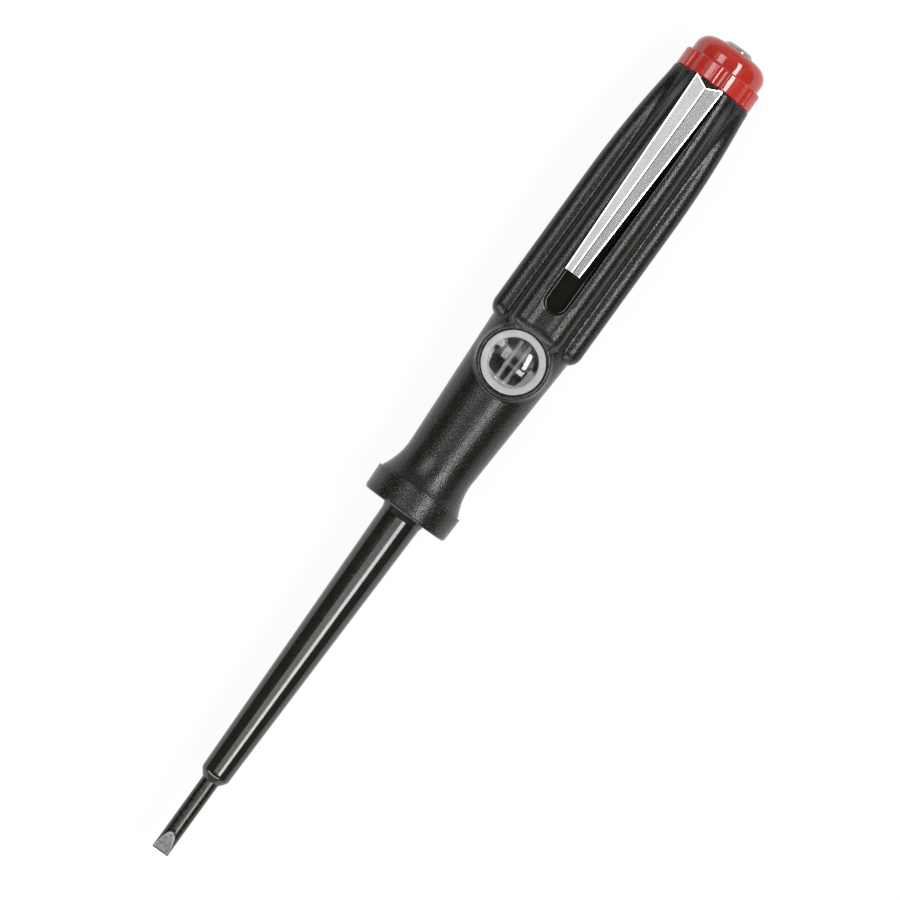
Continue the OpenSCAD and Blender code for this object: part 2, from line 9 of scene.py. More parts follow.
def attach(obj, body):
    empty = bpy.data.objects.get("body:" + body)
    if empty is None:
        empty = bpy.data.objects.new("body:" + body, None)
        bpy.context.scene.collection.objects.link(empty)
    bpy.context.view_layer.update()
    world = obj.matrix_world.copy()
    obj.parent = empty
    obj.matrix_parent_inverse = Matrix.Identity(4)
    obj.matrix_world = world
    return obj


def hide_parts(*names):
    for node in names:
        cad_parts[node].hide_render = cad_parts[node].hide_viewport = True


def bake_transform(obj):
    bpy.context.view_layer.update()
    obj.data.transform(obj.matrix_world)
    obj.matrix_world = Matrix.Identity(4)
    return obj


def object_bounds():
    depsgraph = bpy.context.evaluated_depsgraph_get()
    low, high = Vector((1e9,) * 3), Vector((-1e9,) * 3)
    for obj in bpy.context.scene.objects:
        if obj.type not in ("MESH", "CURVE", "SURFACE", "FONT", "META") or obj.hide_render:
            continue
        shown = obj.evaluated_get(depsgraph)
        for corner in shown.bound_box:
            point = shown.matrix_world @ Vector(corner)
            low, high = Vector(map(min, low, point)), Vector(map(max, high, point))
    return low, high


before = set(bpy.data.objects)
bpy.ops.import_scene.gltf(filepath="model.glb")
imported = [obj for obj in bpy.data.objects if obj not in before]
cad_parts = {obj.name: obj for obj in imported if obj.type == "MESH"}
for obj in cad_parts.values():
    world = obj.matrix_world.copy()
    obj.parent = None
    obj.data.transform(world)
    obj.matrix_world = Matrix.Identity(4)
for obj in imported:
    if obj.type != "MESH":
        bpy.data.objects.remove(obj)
CAD_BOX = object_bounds()

# Sizes are in millimetres. Along the tool they are counted from the collar's front face
# towards the cap, so a place b lies at x = -b, and the blade's tip has the lowest b.
MM = 0.001
PLAY = 0.02

# Handle
COLLAR_LEN = 4.4
COLLAR_FRONT_R = 7.8
COLLAR_BACK_R = 7.95
FLARE_R = 11.5
NECK_AT = 10.043
NECK_R = 6.12
SHOULDER_AT = 34.65
SHOULDER_R = 7.35
HANDLE_LEN = 84.8
END_R = 7.25
RIB_R = 2.248
RIB_CENTRE_R = 6.8
RIB_STEP = math.radians(45)
RIB_BEND_AT = 62.0
RIB_BEND_R = 163.25
BOSS_R = 6.1
BOSS_TOP = 7.4
SLOT_HALF = 2.0
SLOT_AT = 39.9
SLOT_END = 83.4
SLOT_FLOOR = 6.6
BORE_R = 3.0
THREAD_BORE_R = 4.95
THREAD_BORE_AT = 76.4
NOTCH_IN = 1.45
NOTCH_OUT = 2.75
NOTCH_FOOT = 5.3
NOTCH_AT = 83.83

# Blade and sleeve
BLADE_R = 1.5
BLADE_TIP = -67.3
BLADE_END = 18.0
BARE_END = -53.32
FLAT_LEN = 4.1
TIP_HALF = 0.25
CORE_R = 1.3
SLEEVE_FLANGE_R = 3.88
FLANGE_END = 0.8
SLEEVE_TAIL_R = 3.0
SLEEVE_END = 8.0

# Window, lamp and resistor
WINDOW_AT = 30.0
RING_OUT_R = 5.28
RING_IN_R = 4.07
RING_FACE = 7.3
RING_FOOT = 5.7
LENS_R = 4.05
LENS_FLANGE_R = 4.7
LENS_FOOT = 4.92
LENS_RIM = 7.15
LENS_TOP = 8.3
LAMP_FRONT = 21.5
LAMP_REAR = 38.5
GLASS_FRONT = 22.08
GLASS_REAR = 37.92
RESISTOR_FRONT = 38.55
RESISTOR_REAR = 58.55

# Contact plate, end cap and button
PLATE_AT = 74.75
PLATE_THICK = 0.6
SEAT_AT = 84.85
CAP_RING_R = 7.2
CAP_RING_END = 88.15
DOME_R = 6.45
DOME_TOP = 91.95
SPIGOT_R = 4.4
SPIGOT_END = 76.55
HOLE_R = 1.27
WASHER_AT = 76.0
HEAD_AT = 91.97

# Clip
CLIP_ASIDE = -0.75
CLIP_TIP = 47.05
CLIP_ROOT = 84.75
CLIP_TIP_HALF = 1.4
CLIP_ROOT_HALF = 2.6


def arc(centre, r, start, end, steps):
    """Points on an arc, with its angles in degrees."""
    angle = np.radians(np.linspace(start, end, steps + 1))
    return [(centre[0] + r * math.cos(a), centre[1] + r * math.sin(a)) for a in angle]


def rounded(corners, closed=False):
    """Outline through corners (r, a, fillet), with each corner rounded by its fillet."""
    points, n = [], len(corners)
    # share of an edge that a fillet may take, beside another fillet and beside a plain corner
    shared, alone = 0.49, 0.98
    arc_step = math.radians(11)
    for i, (x, y, fillet) in enumerate(corners):
        here = np.array((x, y), float)
        if fillet <= 0 or (not closed and i in (0, n - 1)):
            points.append(here)
            continue
        before = np.array(corners[i - 1][:2], float) - here
        after = np.array(corners[(i + 1) % n][:2], float) - here
        u, v = before / np.linalg.norm(before), after / np.linalg.norm(after)
        half = math.acos(np.clip(u @ v, -1, 1)) / 2
        reach = fillet / math.tan(half)
        room = min(
            (shared if corners[k][2] > 0 else alone) * np.linalg.norm(line)
            for k, line in ((i - 1, before), ((i + 1) % n, after))
        )
        if reach > room:
            fillet, reach = fillet * room / reach, room
        centre = here + (u + v) / np.linalg.norm(u + v) * fillet / math.sin(half)
        p, q = here + u * reach - centre, here + v * reach - centre
        turn = math.pi - 2 * half
        steps = max(3, math.ceil(turn / arc_step))
        for t in np.arange(steps + 1) / steps:
            spoke = (math.sin((1 - t) * turn) * p + math.sin(t * turn) * q) / math.sin(turn)
            points.append(centre + spoke)
    return np.array(points)


def about_tool(r, b, angle):
    return np.stack([-b, r * np.sin(angle), r * np.cos(angle)], -1)


def about_window(r, height, angle):
    return np.stack([-WINDOW_AT + r * np.cos(angle), r * np.sin(angle), height], -1)


def round_angles(count):
    return np.arange(count) * 2 * math.pi / count


def grid_faces(rows, cols, close_rows=False):
    """Quads of a grid whose columns go all the way round."""
    last = rows if close_rows else rows - 1
    i, k = np.meshgrid(np.arange(last), np.arange(cols), indexing="ij")
    j, m = (i + 1) % rows, (k + 1) % cols
    return np.stack([i * cols + k, j * cols + k, j * cols + m, i * cols + m], -1).reshape(-1, 4).tolist()


def lathe(outline, turns, place=about_tool, closed=False, shape=None):
    """Surface of an outline turned round the tool's or the window's axis."""
    outline = np.asarray(outline, float)
    r, angle = np.broadcast_arrays(outline[:, :1], round_angles(turns)[None, :])
    height = np.broadcast_to(outline[:, 1:], r.shape)
    if shape:
        r = shape(r, height, angle)
    return place(r, height, angle).reshape(-1, 3), grid_faces(len(outline), turns, closed)


def tube(path, r, sides):
    """Round wire along points about the tool's axis, with closed ends."""
    along = np.gradient(path, axis=0)
    along /= np.linalg.norm(along, axis=1)[:, None]
    out = path * [0, 1, 1]
    out -= along * np.sum(out * along, axis=1)[:, None]
    out /= np.linalg.norm(out, axis=1)[:, None]
    side = np.cross(along, out)
    angle = round_angles(sides)[None, :, None]
    rings = path[:, None] + r * (np.cos(angle) * out[:, None] + np.sin(angle) * side[:, None])
    faces = grid_faces(len(path), sides)
    faces += [list(range(sides))[::-1], list(range((len(path) - 1) * sides, len(path) * sides))]
    return rings.reshape(-1, 3), faces


def joined(*parts):
    verts, faces, start = [], [], 0
    for v, f in parts:
        verts.append(v)
        faces += [[start + i for i in face] for face in f]
        start += len(v)
    return np.concatenate(verts), faces


def piece(name, part, node, body, slot, sharp=None, turn_out=True):
    """Makes a mesh piece that stands for a CAD node and rides on its body."""
    same_place = 1e-7
    verts, faces = part
    mesh = bpy.data.meshes.new(name)
    mesh.from_pydata((verts * MM).tolist(), [], faces)
    if turn_out:
        work = bmesh.new()
        work.from_mesh(mesh)
        bmesh.ops.remove_doubles(work, verts=work.verts, dist=same_place)
        bmesh.ops.recalc_face_normals(work, faces=work.faces)
        work.to_mesh(mesh)
        work.free()
    mesh.polygons.foreach_set("use_smooth", [True] * len(mesh.polygons))
    if sharp:
        mesh.set_sharp_from_angle(angle=math.radians(sharp))
    mesh.materials.append(MATERIALS[slot])
    mesh.update()
    obj = bpy.data.objects.new(name, mesh)
    bpy.context.scene.collection.objects.link(obj)
    if body:
        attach(obj, body)
    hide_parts(node)
    return obj


# Materials, with places and depths in metres


class Finish:
    """A node material built round one Principled shader."""

    SOCKETS = {
        "metal": "Metallic", "ior": "IOR", "specular": "Specular IOR Level", "glass": "Transmission Weight",
        "coat": "Coat Weight", "coat_rough": "Coat Roughness", "under": "Subsurface Weight",
        "under_scale": "Subsurface Scale", "under_radius": "Subsurface Radius",
    }

    def __init__(self, name):
        self.mat = bpy.data.materials.new(name)
        self.mat.use_nodes = True
        self.tree = self.mat.node_tree
        self.shader = self.tree.nodes["Principled BSDF"]
        self.coords = self.tree.nodes.new("ShaderNodeTexCoord").outputs["Object"]

    def set(self, **values):
        """Constants on the shader's own sockets."""
        for key, value in values.items():
            self.shader.inputs[self.SOCKETS[key]].default_value = value

    def node(self, kind, **inputs):
        """New node, with the inputs that are numbers, colours or vectors."""
        made = self.tree.nodes.new(kind)
        for key, value in inputs.items():
            made.inputs[key.replace("_", " ")].default_value = value
        return made

    def link(self, a, b):
        self.tree.links.new(a, b)

    def stretched(self, x, y, z):
        """Object coordinates times a scale along each axis."""
        made = self.node("ShaderNodeMapping", Scale=(x, y, z))
        self.link(self.coords, made.inputs["Vector"])
        return made.outputs["Vector"]

    def place(self):
        """Object coordinates one by one."""
        split = self.node("ShaderNodeSeparateXYZ")
        self.link(self.coords, split.inputs["Vector"])
        return split.outputs["X"], split.outputs["Y"], split.outputs["Z"]

    def noise(self, scale, detail, rough, coords=None):
        made = self.node("ShaderNodeTexNoise", Scale=scale, Detail=detail, Roughness=rough)
        self.link(coords or self.coords, made.inputs["Vector"])
        return made.outputs["Fac"]

    def tint(self, value, low, high, start=0.3, end=0.7):
        """Colour that goes from low to high while the value goes from start to end."""
        made = self.node("ShaderNodeValToRGB")
        for element, at, color in zip(made.color_ramp.elements, (start, end), (low, high)):
            element.position = at
            element.color = (*color, 1)
        self.link(value, made.inputs["Fac"])
        return made.outputs["Color"]

    def span(self, value, low, high, start=0.3, end=0.7):
        """Number that goes from low to high while the value goes from start to end."""
        made = self.node("ShaderNodeMapRange", From_Min=start, From_Max=end, To_Min=low, To_Max=high)
        self.link(value, made.inputs["Value"])
        return made.outputs["Result"]

    def calc(self, kind, *values):
        """Result of a math node on sockets or numbers."""
        made = self.node("ShaderNodeMath")
        made.operation = kind
        for socket, value in zip(made.inputs, values):
            if isinstance(value, (int, float)):
                socket.default_value = value
            else:
                self.link(value, socket)
        return made.outputs[0]

    def times(self, a, b):
        return self.calc("MULTIPLY", a, b)

    def below(self, a, b):
        return self.calc("LESS_THAN", a, b)

    def above(self, a, b):
        return self.calc("GREATER_THAN", a, b)

    def most(self, a, b):
        return self.calc("MAXIMUM", a, b)

    def distance(self, a, b):
        """Length of two coordinates taken together."""
        return self.calc("SQRT", self.calc("ADD", self.times(a, a), self.times(b, b)))

    def mix(self, share, a, b):
        made = self.node("ShaderNodeMix")
        made.data_type = "RGBA"
        self.link(share, made.inputs["Factor"])
        first, second = [socket for socket in made.inputs if socket.type == "RGBA"]
        for socket, value in ((first, a), (second, b)):
            if isinstance(value, tuple):
                socket.default_value = (*value, 1)
            else:
                self.link(value, socket)
        return next(socket for socket in made.outputs if socket.type == "RGBA")

    def bump(self, height, depth, strength, after=None):
        made = self.node("ShaderNodeBump", Strength=strength, Distance=depth)
        self.link(height, made.inputs["Height"])
        if after:
            self.link(after, made.inputs["Normal"])
        return made.outputs["Normal"]

    def color(self, value):
        self.link(value, self.shader.inputs["Base Color"])

    def rough(self, value):
        self.link(value, self.shader.inputs["Roughness"])

    def normal(self, value):
        self.link(value, self.shader.inputs["Normal"])


def handle_plastic():
    """Black spark-textured plastic with painted sparkle, smooth in the slot, round the window and on the
    collar's rim.
    """
    f = Finish("handle_plastic")
    f.set(specular=0.45)
    slot_half, floor_low, floor_high = SLOT_HALF + 0.05, SLOT_FLOOR - 0.4, SLOT_FLOOR + 0.3
    rim_end, window_r, collar_end = 0.4, 5.5, COLLAR_LEN + 0.1
    # the collar's extra share of specks is a painted sheen that brightens it
    collar_painted_sheen, polish = 0.05, 0.2
    x, y, z = f.place()
    slot = f.times(f.below(f.calc("ABSOLUTE", y), slot_half * MM), f.below(x, -SLOT_AT * MM))
    on_floor = f.times(f.below(z, floor_high * MM), f.above(z, floor_low * MM))
    rim = f.above(x, -rim_end * MM)
    polished = f.most(f.times(slot, on_floor), rim)
    from_window = f.distance(f.calc("ADD", x, WINDOW_AT * MM), y)
    window = f.times(f.below(from_window, window_r * MM), f.above(z, 0.0))
    smooth = f.most(polished, window)
    collar = f.above(x, -collar_end * MM)
    cloud = f.noise(scale=420, detail=4, rough=0.6)
    grain = f.times(f.noise(scale=3600, detail=1.5, rough=0.5), f.calc("SUBTRACT", 1.0, smooth))
    black = f.tint(cloud, low=(0.0062, 0.0055, 0.0042), high=(0.0088, 0.0079, 0.0061))
    # pale specks on the tops of the grain are painted sparkle, glints of light on the texture, with more on
    # the collar as a painted sheen; the smooth places get none
    sparkle_tops = f.calc("ADD", grain, f.times(collar, collar_painted_sheen))
    painted_sparkle = f.span(sparkle_tops, low=0.0, high=1.0, start=0.58, end=0.74)
    f.color(f.mix(painted_sparkle, black, (0.046, 0.044, 0.041)))
    f.rough(f.calc("SUBTRACT", f.span(grain, low=0.33, high=0.18), f.times(polished, polish)))
    waves = f.bump(cloud, depth=0.1 * MM, strength=0.15)
    f.normal(f.bump(grain, depth=0.05 * MM, strength=1.0, after=waves))
    return f.mat


def sleeve_plastic():
    f = Finish("sleeve_plastic")
    f.set(specular=0.8)
    cloud = f.noise(scale=300, detail=4, rough=0.6)
    f.color(f.tint(cloud, low=(0.0080, 0.0073, 0.0056), high=(0.0112, 0.0104, 0.0082)))
    f.rough(f.span(f.noise(scale=900, detail=5, rough=0.65), low=0.09, high=0.16))
    f.normal(f.bump(f.noise(scale=160, detail=2, rough=0.5), depth=0.2 * MM, strength=0.05))
    return f.mat


def blade_steel():
    """Blackened round steel, bright where the flats are ground into it, with a painted highlight along the
    flats' edges and a painted dark band at the very tip.
    """
    f = Finish("blade_steel")
    f.set(metal=1.0)
    # the bright ground colour starts just behind the flats and stops 0.22 mm short of the tip, where the
    # black colour is left as a painted dark edge
    ground_start, dark_tip_band_at = -BLADE_TIP - FLAT_LEN - 0.1, -BLADE_TIP - 0.22
    ground_r, glint_edge_r, polish = BLADE_R - 0.09, BLADE_R - 0.23, 0.05
    x, y, z = f.place()
    from_axis = f.distance(y, z)
    at_tip = f.times(f.above(x, ground_start * MM), f.below(x, dark_tip_band_at * MM))
    ground = f.times(at_tip, f.below(from_axis, ground_r * MM))
    # a pale colour along the edges of the flats is a painted highlight
    edge = f.times(ground, f.above(from_axis, glint_edge_r * MM))
    lines = f.noise(scale=1.0, detail=3, rough=0.6, coords=f.stretched(900, 9000, 9000))
    spots = f.noise(scale=1400, detail=4, rough=0.65)
    black = f.tint(spots, low=(0.060, 0.057, 0.052), high=(0.105, 0.102, 0.095), end=0.75)
    bright = f.tint(lines, low=(0.25, 0.255, 0.26), high=(0.32, 0.325, 0.33))
    f.color(f.mix(edge, f.mix(ground, black, bright), (0.50, 0.51, 0.52)))
    f.rough(f.calc("SUBTRACT", f.span(spots, low=0.22, high=0.36), f.times(ground, polish)))
    f.normal(f.bump(lines, depth=0.01 * MM, strength=0.25))
    return f.mat


def clip_steel():
    """Satin steel, brushed along the clip."""
    f = Finish("clip_steel")
    f.set(metal=1.0)
    lines = f.noise(scale=1.0, detail=4, rough=0.65, coords=f.stretched(110, 9000, 9000))
    smudge = f.noise(scale=240, detail=4, rough=0.6)
    f.color(f.tint(smudge, low=(0.56, 0.555, 0.55), high=(0.64, 0.635, 0.63)))
    f.rough(f.span(lines, low=0.09, high=0.13))
    f.normal(f.bump(lines, depth=0.01 * MM, strength=0.03))
    return f.mat


def ring_plastic():
    f = Finish("ring_plastic")
    f.set(specular=0.4)
    cloud = f.noise(scale=700, detail=4, rough=0.6)
    f.color(f.tint(cloud, low=(0.30, 0.302, 0.308), high=(0.37, 0.372, 0.38)))
    f.rough(f.span(f.noise(scale=1800, detail=3, rough=0.6), low=0.38, high=0.55))
    f.normal(f.bump(f.noise(scale=4200, detail=2, rough=0.6), depth=0.02 * MM, strength=0.25))
    return f.mat


def clear(name, low, high, ior, rough, coat=0.0):
    """Glass or clear plastic, with a tint between two colours."""
    f = Finish(name)
    f.set(glass=1.0, ior=ior, coat=coat, coat_rough=0.14)
    f.color(f.tint(f.noise(scale=260, detail=2, rough=0.5), low, high))
    f.rough(f.span(f.noise(scale=1500, detail=4, rough=0.6), low=rough, high=rough + 0.008))
    return f.mat


def metal(name, low, high, rough, weight=1.0):
    """Drawn or stamped metal, with a colour between two."""
    f = Finish(name)
    f.set(metal=weight)
    lines = f.noise(scale=1.0, detail=4, rough=0.6, coords=f.stretched(600, 4000, 4000))
    f.color(f.tint(f.noise(scale=500, detail=4, rough=0.6), low, high))
    f.rough(f.span(lines, low=rough, high=rough + 0.12))
    f.normal(f.bump(lines, depth=0.01 * MM, strength=0.2))
    return f.mat


def resistor_ceramic():
    f = Finish("resistor_ceramic")
    cloud = f.noise(scale=900, detail=5, rough=0.65)
    f.color(f.tint(cloud, low=(0.42, 0.34, 0.23), high=(0.55, 0.46, 0.33)))
    f.rough(f.span(f.noise(scale=2000, detail=3, rough=0.6), low=0.35, high=0.55))
    f.normal(f.bump(f.noise(scale=3000, detail=3, rough=0.6), depth=0.03 * MM, strength=0.3))
    return f.mat


def cap_plastic():
    f = Finish("cap_plastic")
    f.set(specular=0.6, under=0.12, under_scale=0.6 * MM, under_radius=(1.0, 0.25, 0.15))
    cloud = f.noise(scale=380, detail=4, rough=0.6)
    f.color(f.tint(cloud, low=(0.35, 0.0220, 0.0150), high=(0.40, 0.0265, 0.0185)))
    f.rough(f.span(f.noise(scale=1300, detail=4, rough=0.6), low=0.05, high=0.11))
    f.normal(f.bump(f.noise(scale=900, detail=3, rough=0.55), depth=0.05 * MM, strength=0.08))
    return f.mat


def button_chrome():
    f = Finish("button_chrome")
    f.set(metal=1.0)
    cloud = f.noise(scale=800, detail=4, rough=0.6)
    f.color(f.tint(cloud, low=(0.30, 0.305, 0.315), high=(0.40, 0.405, 0.415)))
    f.rough(f.span(f.noise(scale=2600, detail=4, rough=0.65), low=0.06, high=0.14))
    f.normal(f.bump(f.noise(scale=1800, detail=2, rough=0.5), depth=0.02 * MM, strength=0.06))
    return f.mat


MATERIALS = {
    "handle_plastic": handle_plastic(),
    "sleeve_plastic": sleeve_plastic(),
    "blade_steel": blade_steel(),
    "clip_steel": clip_steel(),
    "ring_plastic": ring_plastic(),
    "cap_plastic": cap_plastic(),
    "button_chrome": button_chrome(),
    "resistor_ceramic": resistor_ceramic(),
    "lens_plastic": clear(
        "lens_plastic", (0.94, 0.96, 0.97), (0.98, 0.985, 0.99), ior=1.44, rough=0.0, coat=0.7
    ),
    "lamp_glass": clear("lamp_glass", (0.93, 0.95, 0.95), (0.97, 0.98, 0.98), ior=1.25, rough=0.01),
    "bead_glass": clear("bead_glass", (0.72, 0.78, 0.78), (0.84, 0.88, 0.88), ior=1.52, rough=0.22),
    "electrode_metal": metal(
        "electrode_metal", (0.80, 0.79, 0.77), (0.88, 0.87, 0.85), rough=0.42, weight=0.4
    ),
    "contact_brass": metal("contact_brass", (0.55, 0.42, 0.20), (0.68, 0.55, 0.30), rough=0.25),
    "spring_steel": metal("spring_steel", (0.45, 0.45, 0.45), (0.58, 0.58, 0.58), rough=0.25),
}


# Handle: one field of smooth joins and cuts, meshed on its zero level


def cut(a, b, fillet=0.0):
    """What lies in both a and b, with the edge between them rounded."""
    if fillet == 0:
        return np.maximum(a, b)
    corner = np.hypot(np.maximum(a + fillet, 0), np.maximum(b + fillet, 0))
    return np.minimum(-fillet, np.maximum(a, b)) + corner


def fuse(a, b, fillet):
    """What lies in a or in b, with the corner between them filled."""
    return -cut(-a, -b, fillet)


def neck(b, out):
    """Neck that flares towards the collar, and the core of the grip behind it."""
    start, least_lean = 3.0, 0.5
    before = np.clip(b, COLLAR_LEN, NECK_AT) - NECK_AT
    flare = NECK_R + FLARE_R - np.sqrt(np.maximum(FLARE_R**2 - before**2, 0))
    grip = np.interp(b, [NECK_AT, SHOULDER_AT, HANDLE_LEN], [NECK_R, SHOULDER_R, END_R])
    # the field has to stay close to a distance where the flare leans
    lean = np.sqrt(np.maximum(1 - ((b - NECK_AT) / FLARE_R) ** 2, least_lean))
    side = np.where(b < NECK_AT, (out - flare) * lean, out - grip)
    return cut(side, start - b)


def collar(b, out):
    """Slightly conical collar, bevelled in front."""
    bevel_end, bevel_out, bevel_along = 0.35, 0.89, 0.456
    side = out - (COLLAR_FRONT_R + (COLLAR_BACK_R - COLLAR_FRONT_R) * b / COLLAR_LEN)
    bevel = (out - COLLAR_FRONT_R) * bevel_out + (bevel_end - b) * bevel_along
    disc = cut(cut(side, bevel, fillet=0.05), -b, fillet=0.12)
    return cut(disc, b - COLLAR_LEN, fillet=0.12)


def collar_groove(b, out):
    """Fine groove behind the collar."""
    behind, ring_r, r = 0.06, 7.62, 0.16
    return np.hypot(b - COLLAR_LEN - behind, out - ring_r) - r


def ribs(b, y, z, out):
    """Ribs with round front ends, which bend inwards towards the cap."""
    turn = np.mod(np.arctan2(y, z), RIB_STEP) - RIB_STEP / 2
    bend = np.maximum(b - RIB_BEND_AT, 0)
    centre = RIB_CENTRE_R - (RIB_BEND_R - np.sqrt(RIB_BEND_R**2 - bend**2))
    before = np.maximum(SHOULDER_AT + RIB_R - b, 0)
    return np.sqrt((out * np.cos(turn) - centre) ** 2 + (out * np.sin(turn)) ** 2 + before**2) - RIB_R


def bridge(b, y, z):
    """Web between the two middle ribs, sloped in front, which closes the slot."""
    half, slope_foot, top, foot, end = 2.5, 6.93, 8.38, 4.0, 42.2
    slope = ((z - slope_foot) - (b - SHOULDER_AT)) * math.sqrt(0.5)
    web = cut(cut(np.abs(y) - half, z - top, fillet=0.3), slope, fillet=0.9)
    return cut(web, np.maximum(b - end, foot - z))


def clip_slot(b, y, z):
    """Slot under the clip, round at its front end."""
    centre = SLOT_AT + SLOT_HALF
    side = np.where(b < centre, np.hypot(y, b - centre), np.abs(y)) - SLOT_HALF
    return cut(cut(side, b - SLOT_END), SLOT_FLOOR - z, fillet=0.3)


def ear_notches(b, y, z):
    """Two notches in the handle's end, for the clip's ears."""
    middle, half = (NOTCH_IN + NOTCH_OUT) / 2, (NOTCH_OUT - NOTCH_IN) / 2
    side = np.abs(np.abs(y - CLIP_ASIDE) - middle) - half
    return cut(cut(side, NOTCH_AT - b), NOTCH_FOOT - z)


def window_seats(from_window, z):
    """Stepped seat of the ring and the lens, open to the bore."""
    ring_gap, well_r = 0.13, 3.4
    seat = cut(from_window - RING_OUT_R - ring_gap, RING_FOOT - z)
    seat = np.minimum(seat, cut(from_window - LENS_FLANGE_R - PLAY, LENS_FOOT - PLAY - z))
    return np.minimum(seat, cut(from_window - well_r, -z))


def bores(b, out):
    """Bore of the lamp and resistor, bore of the cap, and seats of the sleeve and the blade."""
    bore = np.minimum(cut(out - BORE_R, BLADE_END - b), cut(out - THREAD_BORE_R, THREAD_BORE_AT - b))
    bore = np.minimum(bore, cut(out - SLEEVE_TAIL_R - PLAY, b - SLEEVE_END - PLAY))
    bore = np.minimum(bore, cut(out - SLEEVE_FLANGE_R - PLAY, b - FLANGE_END - PLAY))
    return np.minimum(bore, out - CORE_R - PLAY)


def moulding_mark(b, y, z):
    """Small slanting pit on the neck."""
    at, aside, height, r = 10.7, -1.25, 6.05, 0.22
    stretch, slant = 1.5, 0.3
    along = b - at
    return np.sqrt((along / stretch) ** 2 + (y - aside - slant * along) ** 2 + (z - height) ** 2) - r


def handle_field(p):
    """About the distance from the handle's surface in millimetres, below zero inside."""
    b, y, z = -p[:, 0], p[:, 1], p[:, 2]
    out = np.hypot(y, z)
    from_window = np.hypot(b - WINDOW_AT, y)
    body = np.minimum(neck(b, out), collar(b, out))
    body = cut(body, -collar_groove(b, out), fillet=0.04)
    body = fuse(body, fuse(ribs(b, y, z, out), bridge(b, y, z), fillet=0.5), fillet=0.4)
    boss = cut(cut(from_window - BOSS_R, z - BOSS_TOP, fillet=0.45), -z)
    body = fuse(body, boss, fillet=0.55)
    body = cut(body, b - HANDLE_LEN, fillet=0.3)
    body = cut(body, -clip_slot(b, y, z), fillet=0.3)
    body = cut(body, -ear_notches(b, y, z), fillet=0.12)
    body = cut(body, -np.minimum(window_seats(from_window, z), bores(b, out)), fillet=0.1)
    return cut(body, -moulding_mark(b, y, z), fillet=0.06)


CORNERS = [(i, j, k) for i in (0, 1) for j in (0, 1) for k in (0, 1)]


def grid_places(spans, coarser):
    """Grid places from spans of (start, end, step)."""
    parts = []
    for start, end, step in spans:
        count = max(1, round((end - start) / (step * coarser)))
        parts.append(np.linspace(start, end, count, endpoint=False))
    return np.concatenate(parts + [[spans[-1][1]]])


def sampled(field, xs, ys, zs):
    """The field at each point of the grid."""
    value = np.empty((len(xs), len(ys), len(zs)), np.float32)
    side = np.stack(np.meshgrid(ys, zs, indexing="ij"), -1).reshape(-1, 2)
    for i, x in enumerate(xs):
        value[i] = field(np.column_stack([np.full(len(side), x), side])).reshape(len(ys), len(zs))
    return value


def crossed_cells(inside):
    """The cells that the level crosses, and their numbers in the grid."""
    shape = tuple(n - 1 for n in inside.shape)
    count = np.zeros(shape, np.uint8)
    for corner in CORNERS:
        count += inside[tuple(slice(o, o + n) for o, n in zip(corner, shape))]
    mixed = (count > 0) & (count < len(CORNERS))
    number = np.full(shape, -1)
    number[mixed] = np.arange(mixed.sum())
    return np.argwhere(mixed), number


def cell_points(value, cells, places):
    """For each cell, the mean of the points where the level crosses its edges."""
    total, hits = np.zeros((len(cells), 3)), np.zeros(len(cells))
    for axis, step in enumerate(np.eye(3, dtype=int)):
        for corner in CORNERS:
            if corner[axis]:
                continue
            start = cells + corner
            end = start + step
            at_start, at_end = value[tuple(start.T)], value[tuple(end.T)]
            crossed = (at_start < 0) != (at_end < 0)
            share = np.where(crossed, at_start / np.where(crossed, at_start - at_end, 1), 0)
            p = np.column_stack([place[start[:, n]] for n, place in enumerate(places)])
            q = np.column_stack([place[end[:, n]] for n, place in enumerate(places)])
            total += np.where(crossed[:, None], p + share[:, None] * (q - p), 0)
            hits += crossed
    return total / hits[:, None]


def drawn_on(field, verts):
    """Points moved along the field's slope onto its zero level."""
    rounds, probe, least_slope, longest = 3, 0.01, 0.05, 0.12
    for _ in range(rounds):
        slope = np.column_stack(
            [(field(verts + probe * e) - field(verts - probe * e)) / (2 * probe) for e in np.eye(3)]
        )
        steepness = np.maximum(np.sum(slope**2, 1), least_slope)
        move = field(verts)[:, None] * slope / steepness[:, None]
        verts = verts - np.clip(move, -longest, longest)
    return verts


def crossing_quads(inside, number, axis):
    """A quad round each grid edge along one axis that the level crosses, facing outwards."""
    u, v = (axis + 1) % 3, (axis + 2) % 3
    low, high = [slice(1, -1)] * 3, [slice(1, -1)] * 3
    low[axis], high[axis] = slice(0, -1), slice(1, None)
    start, end = inside[tuple(low)], inside[tuple(high)]
    edge = np.argwhere(start != end)
    around = []
    for du, dv in ((0, 0), (1, 0), (1, 1), (0, 1)):
        cell = edge.copy()
        cell[:, u] += du
        cell[:, v] += dv
        around.append(number[tuple(cell.T)])
    quads = np.stack(around, -1)
    outward = start[start != end]
    quads[~outward] = quads[~outward][:, ::-1]
    return quads


def field_mesh(field, *places):
    """Quads on the field's zero level, with a point in each cell that the level crosses."""
    value = sampled(field, *places)
    inside = value < 0
    cells, number = crossed_cells(inside)
    verts = drawn_on(field, cell_points(value, cells, places))
    return verts, np.concatenate([crossing_quads(inside, number, axis) for axis in range(3)]).tolist()


# spans along the handle are finer where its shape turns
HANDLE_SPANS = [
    (-0.3, 0.9, 0.12), (0.9, 3.9, 0.3), (3.9, 5.2, 0.1), (5.2, 10.0, 0.3), (10.0, 11.6, 0.12),
    (11.6, 22.8, 0.5), (22.8, 44.4, 0.17), (44.4, 81.5, 0.6), (81.5, 85.1, 0.14),
]
HANDLE_ACROSS = [(-9.3, 9.3, 0.17)]

coarser = 1.0
along_handle = -grid_places(HANDLE_SPANS, coarser)[::-1]
across_handle = grid_places(HANDLE_ACROSS, coarser)
handle = field_mesh(handle_field, along_handle, across_handle, across_handle)
piece("handle_shell", handle, "handle", "handle", "handle_plastic", turn_out=False)


# Blade and sleeve


